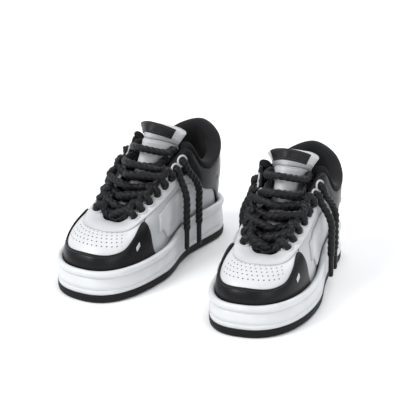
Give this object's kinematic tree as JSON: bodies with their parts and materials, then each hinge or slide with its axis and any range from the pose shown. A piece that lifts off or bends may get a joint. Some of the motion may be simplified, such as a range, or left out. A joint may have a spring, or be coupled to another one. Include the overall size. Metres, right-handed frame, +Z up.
{
  "type": "pair of cheer shoes",
  "caption": "Pair of low chunky trainers: white leather with black toe, ankle and heel overlays, a thick cupsole and heavy twisted-rope laces.",
  "frame": {"origin": "on the floor under the middle of the pair", "axes": "+Z up, toes towards -Y, wearer's left shoe at +X"},
  "size_m": [0.2832, 0.266, 0.1501],
  "materials": {
    "black_rubber": "matt",
    "white_rubber": "matt, faintly grained",
    "foam": "cellular",
    "board": "pressed fibre",
    "black_textile": "soft knit",
    "white_leather": "smooth, perforated",
    "grey_leather": "smooth, satin",
    "black_leather": "satin, fine grain",
    "white_textile": "padded mesh",
    "black_label": "satin weave",
    "white_trim": "woven",
    "black_rope": "twisted, slightly shiny",
    "black_plastic": "glossy"
  },
  "bodies": {
    "right_shoe": {"right_outsole": "black_rubber", "right_cupsole": "white_rubber", "right_foam_insert": "foam", "right_insole_board": "board", "right_footbed": "black_textile", "right_vamp": "white_leather", "right_toe_overlay": "black_leather", "right_eyestay": "white_leather", "right_heel_counter": "black_leather", "right_collar_padding": "black_textile", "right_tongue_base": "white_textile", "right_quarter_lateral": "grey_leather", "right_side_panel_lateral": "grey_leather", "right_ankle_overlay_lateral": "black_leather", "right_heel_piping_lateral": "white_trim", "right_quarter_medial": "grey_leather", "right_side_panel_medial": "grey_leather", "right_ankle_overlay_medial": "black_leather", "right_heel_piping_medial": "white_trim", "right_lace_lower": "black_rope", "right_lace_upper": "black_rope", "right_aglet_lower_medial": "black_plastic", "right_aglet_lower_lateral": "black_plastic", "right_aglet_upper_medial": "black_plastic", "right_aglet_upper_lateral": "black_plastic"},
    "left_shoe": {"left_outsole": "black_rubber", "left_cupsole": "white_rubber", "left_foam_insert": "foam", "left_insole_board": "board", "left_footbed": "black_textile", "left_vamp": "white_leather", "left_toe_overlay": "black_leather", "left_eyestay": "white_leather", "left_heel_counter": "black_leather", "left_collar_padding": "black_textile", "left_tongue_base": "white_textile", "left_quarter_lateral": "grey_leather", "left_side_panel_lateral": "grey_leather", "left_ankle_overlay_lateral": "black_leather", "left_heel_piping_lateral": "white_trim", "left_quarter_medial": "grey_leather", "left_side_panel_medial": "grey_leather", "left_ankle_overlay_medial": "black_leather", "left_heel_piping_medial": "white_trim", "left_lace_lower": "black_rope", "left_lace_upper": "black_rope", "left_aglet_lower_medial": "black_plastic", "left_aglet_lower_lateral": "black_plastic", "left_aglet_upper_medial": "black_plastic", "left_aglet_upper_lateral": "black_plastic"},
    "right_tongue": {"right_tongue_top": "white_textile", "right_tongue_label": "black_label"},
    "left_tongue": {"left_tongue_top": "white_textile", "left_tongue_label": "black_label"}
  },
  "joints": [
    {"name": "left_shoe_lift", "type": "slide", "parent": "right_shoe", "child": "left_shoe", "axis": [0, 0, 1], "range_m": [0, 0.25]},
    {"name": "right_tongue_hinge", "type": "hinge", "parent": "right_shoe", "child": "right_tongue", "pos_m": [-0.08172, 0.01712, 0.135], "axis": [0.993, -0.1184, 0], "range_deg": [0, 15], "stiffness_Nm_per_rad": 0.05},
    {"name": "left_tongue_hinge", "type": "hinge", "parent": "left_shoe", "child": "left_tongue", "pos_m": [0.08172, 0.00512, 0.135], "axis": [0.993, 0.1184, 0], "range_deg": [0, 15], "stiffness_Nm_per_rad": 0.05}
  ]
}
